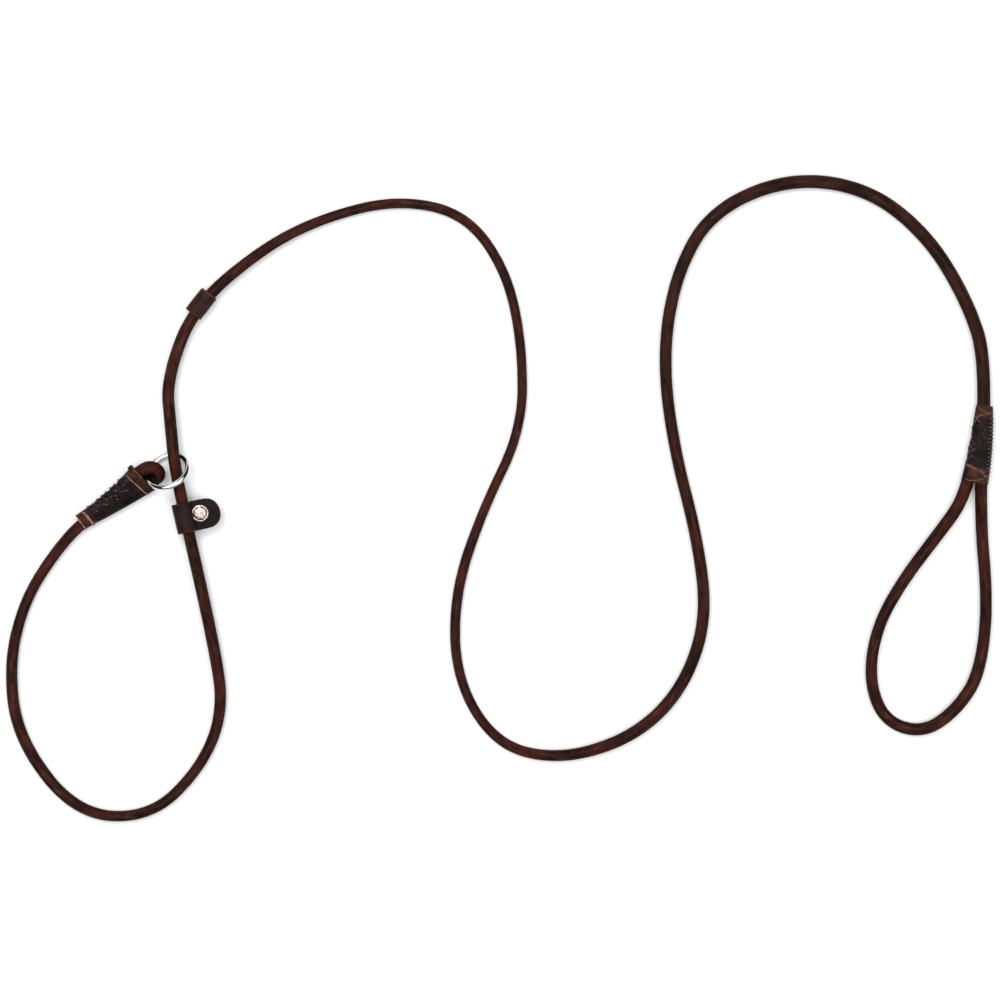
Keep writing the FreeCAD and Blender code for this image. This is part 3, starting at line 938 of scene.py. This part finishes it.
def make_rivet(place, material):
    """The rivet's cap on the tab, its back under the tab, and the post between them."""
    spot = place.at(RIVET_ALONG, RIVET_ACROSS, 0)
    build = Build()
    revolve(build, spot + place.up * RIVET_CAP_BASE, place.up, place.along,
            dome_profile(4.6 * MM, 0.60 * MM, 1.75 * MM, 0.45 * MM))
    finish(build.make("rivet_head"), material, "keeper", "rivet_nickel", "rivet_cap")
    build = Build()
    revolve(build, spot - place.up * RIVET_BACK_BASE, -place.up, place.along,
            dome_profile(3.5 * MM, 0.35 * MM, 1.2 * MM, 0.35 * MM))
    revolve(build, spot - place.up * (RIVET_BACK_BASE - 0.05 * MM), place.up, place.along,
            [(0.0, 0.0), (RIVET_POST_RADIUS, 0.0), (RIVET_POST_RADIUS, RIVET_POST_LENGTH),
             (0.0, RIVET_POST_LENGTH)])
    finish(build.make("rivet_shank"), material, "keeper", "rivet_nickel", "rivet_post")


def stop_radius(angle, share):
    """The sleeve's outside radius: the strip's end laps over its start, with a step there."""
    past = (angle - STOP_LAP) % math.tau
    step = STOP_STRIP * (1 - math.exp(-((past / 0.06) ** 2))) if past < 1.0 else STOP_STRIP
    taper = STOP_STRIP * past / math.tau
    bulge = 0.06 * MM * math.sin(math.pi * share)
    return STOP_RADIUS - STOP_STRIP + step - taper + STOP_STRIP / 2 + bulge


def make_stop(material):
    """A strip of leather rolled round the cord, its end lapped over its start."""
    low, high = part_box("stop_sleeve")
    middle = (low + high) * 0.5
    out = Vector((middle.x - STOP_ARC_CENTRE.x, middle.y - STOP_ARC_CENTRE.y, 0)).normalized()
    along = out.cross(UP)
    middle.z = IN_STOP
    rows = [(i / STOP_STATIONS, 0.0) for i in range(STOP_STATIONS + 1)]
    rows += [(1.02, -0.35 * MM), (1.02, -1.1 * MM)]
    rows += [(1 - i / 6, None) for i in range(7)]
    rows += [(-0.02, -1.1 * MM), (-0.02, -0.35 * MM)]
    build = Build()
    loops = []
    for share, lift in rows:
        place = middle + along * ((share - 0.5) * (STOP_LENGTH - STOP_RIM))
        edge = min(abs(share), abs(1 - share)) * STOP_LENGTH
        tint = max(0.0, 1 - share / 0.3)
        loop = []
        for k in range(STOP_AROUND):
            angle = math.tau * k / STOP_AROUND
            size = STOP_BORE if lift is None else stop_radius(angle, share) + lift
            direction = UP * math.sin(angle) + out * math.cos(angle)
            point = place + direction * size
            point += direction * lumps(point, 3 * MM, 0.05 * MM)
            wear_and_shade = 0.0 if lift is None else max(0.0, 1 - edge / (0.8 * MM)) * (0.5 + 0.5 * share)
            past = (angle - STOP_LAP) % math.tau
            if lift == 0.0 and (past < 0.10 or past > math.tau - 0.05):
                wear_and_shade = max(wear_and_shade, 0.7)
            loop.append(build.add(point, (0, 0, 0), wear_and_shade, tint))
        loops.append(loop)
    join_round(build, loops)
    finish(build.make("stop_roll"), material, "stop", "sleeve_leather", "stop_sleeve")


# ---------------------------------------------------------------- camera, light and floor

def make_camera():
    """Straight down with a long lens, so that 0.544 m of table fills the frame."""
    camera = bpy.data.cameras.new("camera")
    camera.lens = 165.0
    camera.sensor_width = 36.0
    holder = bpy.data.objects.new("camera", camera)
    view = 0.544
    holder.location = (0.0004, -0.0005, 0.004 + camera.lens * view / camera.sensor_width)
    bpy.context.scene.collection.objects.link(holder)
    bpy.context.scene.camera = holder


def make_floor():
    """A plain white table top."""
    half = 4.0
    corners = [(-half, -half, 0), (half, -half, 0), (half, half, 0), (-half, half, 0)]
    mesh = bpy.data.meshes.new("floor")
    mesh.from_pydata(corners, [], [(0, 1, 2, 3)])
    floor = bpy.data.objects.new("floor", mesh)
    bpy.context.scene.collection.objects.link(floor)
    n = Nodes("floor_white")
    floor.data.materials.append(n.finish((0.93, 0.93, 0.93), 0.9, Specular_IOR_Level=0.0))


def make_light(name, place, size, power):
    """A square soft light that looks at the middle of the table."""
    light = bpy.data.lights.new(name, "AREA")
    light.shape = "SQUARE"
    light.size = size
    light.energy = power
    holder = bpy.data.objects.new(name, light)
    holder.location = place
    holder.rotation_euler = (-Vector(place)).to_track_quat("-Z", "Y").to_euler()
    bpy.context.scene.collection.objects.link(holder)


def make_world():
    """A bright ceiling over darker walls with a pale strip along their foot, for the metal."""
    world = bpy.data.worlds.new("studio")
    bpy.context.scene.world = world
    world.use_nodes = True
    tree = world.node_tree
    tree.nodes.clear()
    output = tree.nodes.new("ShaderNodeOutputWorld")
    background = tree.nodes.new("ShaderNodeBackground")
    place = tree.nodes.new("ShaderNodeTexCoord")
    split = tree.nodes.new("ShaderNodeSeparateXYZ")
    ramp = tree.nodes.new("ShaderNodeValToRGB")
    tree.links.new(place.outputs["Generated"], split.inputs[0])
    tree.links.new(split.outputs["Z"], ramp.inputs[0])
    tree.links.new(ramp.outputs[0], background.inputs[0])
    tree.links.new(background.outputs[0], output.inputs[0])
    stops = [(0.0, 0.10), (0.02, 0.42), (0.09, 0.42), (0.13, 0.015), (0.70, 0.02), (0.79, 0.85),
             (0.87, 1.0)]
    elements = ramp.color_ramp.elements
    while len(elements) < len(stops):
        elements.new(0.5)
    for element, (position, value) in zip(elements, stops):
        element.position = position
        element.color = (value, value, value, 1.0)
    background.inputs["Strength"].default_value = 2.2


# ---------------------------------------------------------------- the lead

def main():
    """The scene round the lead, then the lead's pieces from the cord to the stop sleeve."""
    rng = random.Random(7)
    bpy.context.scene.view_settings.view_transform = "Standard"
    make_camera()
    make_floor()
    make_world()
    make_light("key", (-0.7, 0.8, 1.7), 0.9, 14.0)
    make_light("fill", (0.9, -0.5, 1.5), 0.8, 6.0)

    rolled = cord_leather()
    lead, lead_path = make_cord("leash_cord", LEAD_ROUTE, LEAD_GIRTH, lead_shade_and_dulling, rolled,
                                "noose_cord", "lead_cord")
    loop, loop_path = make_cord("hand_loop", HAND_ROUTE, HAND_GIRTH, facing_up_shade, rolled,
                                "hand_loop_cord", "hand_cord_tail")
    make_eye(rolled)

    wrap = strap_leather("wrap_leather", (0.0020, 0.0012, 0.0015), (0.0150, 0.0090, 0.0100),
                         (0.048, 0.019, 0.010), (0.057, 0.0185, 0.0095))
    pale = thread_material("pale_thread", (0.10, 0.045, 0.030), (0.40, 0.235, 0.18))
    tan = thread_material("tan_thread", (0.045, 0.020, 0.012), (0.20, 0.105, 0.062))
    dark = thread_material("dark_thread", (0.0025, 0.0018, 0.0018), (0.016, 0.0115, 0.0110))
    # Painted highlights: the speckled thread's pale colour stands for glints on dark thread.
    glint_speckled = thread_material("speckled_thread", (0.012, 0.007, 0.006), (0.25, 0.14, 0.112))
    worn = thread_material("worn_thread", (0.012, 0.007, 0.005), (0.105, 0.058, 0.036))
    red = thread_material("red_thread", (0.050, 0.012, 0.008), (0.13, 0.034, 0.022))
    # Painted highlights: the olive thread's greyish light colour stands for glints on dark stitches.
    olive = thread_material("olive_thread", (0.0045, 0.0040, 0.0032), (0.070, 0.064, 0.048))

    neck = Cover((-227.5, -12.5, 4.2), (-193.7, 11.2, 5.9), (0.4, 4.2), (4.9, 4.2), 20.0,
                 0.15, -0.75, 1.3,
                 [(0.28, 1, 0.6), (0.41, 1, 0.3), (0.55, 1, 0.6), (0.69, 1, 0.8), (0.83, 1, 0.5)])
    make_cover("neck_cover", neck, wrap, "neck_splice_wrap", [(-0.1, 0.18, 170), (0.88, 1.1, 112)])
    make_threads("neck_whip_stitches", neck,
                 whip_stitches(neck, 0.20, 0.83, 2.9, 58, 0.7, rng),
                 0.42, 0.10, dark, "edge_thread", "neck_edge_stitching")
    make_threads("neck_face_stitches", neck, specks(0.20, 0.82, 22, 48, 88, rng),
                 0.20, 0.02, glint_speckled, "pale_thread", "neck_face_stitching")
    make_threads("neck_narrow_bindings", neck,
                 [[(0.0, a) for a in range(-20, 201, 20)],
                  [(0.100, 22), (0.108, 60), (0.112, 110), (0.110, 165)],
                  [(0.118, 30), (0.124, 60), (0.128, 110), (0.126, 160)]],
                 0.34, 0.12, pale, "pale_thread", "neck_thread_narrow_end")
    make_threads("neck_wide_binding", neck,
                 [[(0.875, 26), (0.877, 60), (0.891, 100), (0.905, 150), (0.910, 175)]],
                 0.28, 0.12, pale, "pale_thread", "neck_thread_wide_end")
    make_threads("neck_corner_knot", neck,
                 [[(0.945, 30), (0.960, 0), (0.970, -40)],
                  [(1.012, 34), (1.008, 0), (1.000, -40)],
                  [(0.955, 12), (0.985, -8), (1.008, 12)]],
                 0.62, 0.38, dark, "edge_thread")
    make_threads("neck_corner_thread", neck,
                 [[(0.985, 2), (1.008, 8), (1.010, 35), (1.008, 62), (1.004, 84)]],
                 0.26, 0.16, tan, "pale_thread")

    hand = Cover((264.0, 50.6, 4.05), (258.6, 9.0, 4.05), (0.4, 4.2), (3.3, 4.2), 0.0,
                 -0.02, 0.7, 0.85,
                 [(0.17, -1, -0.1), (0.30, -1, -0.4), (0.42, -1, 0.3), (0.56, -1, -0.4),
                  (0.70, -1, 0.3)])
    make_cover("hand_cover", hand, wrap, "hand_splice_wrap",
               [(-0.1, 0.15, 165), (0.80, 0.95, 128), (0.91, 1.1, 100)])
    make_threads("hand_whip_stitches", hand,
                 whip_stitches(hand, 0.16, 0.84, 1.95, 64, 0.3, rng),
                 0.42, 0.00, olive, "edge_thread", "hand_edge_stitching")
    make_threads("hand_lacing", hand,
                 zigzag(0.45, 0.71, 114, 156, 3, rng) + specks(0.27, 0.70, 12, 84, 152, rng),
                 0.24, 0.02, worn, "pale_thread", "hand_face_lacing")
    make_threads("hand_top_bindings", hand,
                 [[(0.02, 135), (0.06, 100), (0.095, 70), (0.08, 30)],
                  [(0.16, 150), (0.13, 115), (0.10, 70), (0.06, 30)],
                  [(0.12, 115), (0.16, 125), (0.20, 140), (0.24, 155)],
                  [(0.15, 150), (0.19, 125), (0.22, 108)]],
                 0.23, 0.06, tan, "pale_thread", "hand_thread_narrow_end")
    make_threads("hand_foot_bindings", hand,
                 [[(0.79, 155), (0.80, 120), (0.835, 90), (0.865, 66)],
                  [(0.84, 84), (0.875, 70), (0.910, 60), (0.940, 70), (0.975, 92), (0.985, 112),
                   (0.965, 132)],
                  [(0.885, 56), (0.892, 22)],
                  [(0.905, 56), (0.912, 26)],
                  [(0.93, 52), (0.95, 40), (0.975, 30)]],
                 0.26, 0.08, tan, "pale_thread", "hand_thread_wide_end")
    make_threads("hand_red_strands", hand,
                 [[(0.775, 160), (0.785, 120), (0.820, 90), (0.855, 60)],
                  [(0.800, 140), (0.812, 115), (0.845, 90)],
                  [(0.05, 125), (0.07, 100), (0.09, 80)],
                  [(0.11, 95), (0.10, 70)]],
                 0.42, 0.08, red, "pale_thread")

    make_ring(ring_metal())
    place = KeeperFrame()
    make_keeper(place, strap_leather("keeper_leather", (0.0085, 0.0040, 0.0048),
                                     (0.020, 0.0095, 0.0105), (0.052, 0.020, 0.010),
                                     (0.0048, 0.0042, 0.0034)))
    make_rivet(place, rivet_metal())
    make_stop(strap_leather("sleeve_leather", (0.0125, 0.0052, 0.0052), (0.0370, 0.0145, 0.0135),
                            (0.105, 0.046, 0.026), (0.030, 0.0170, 0.0085), 0.46))


main()
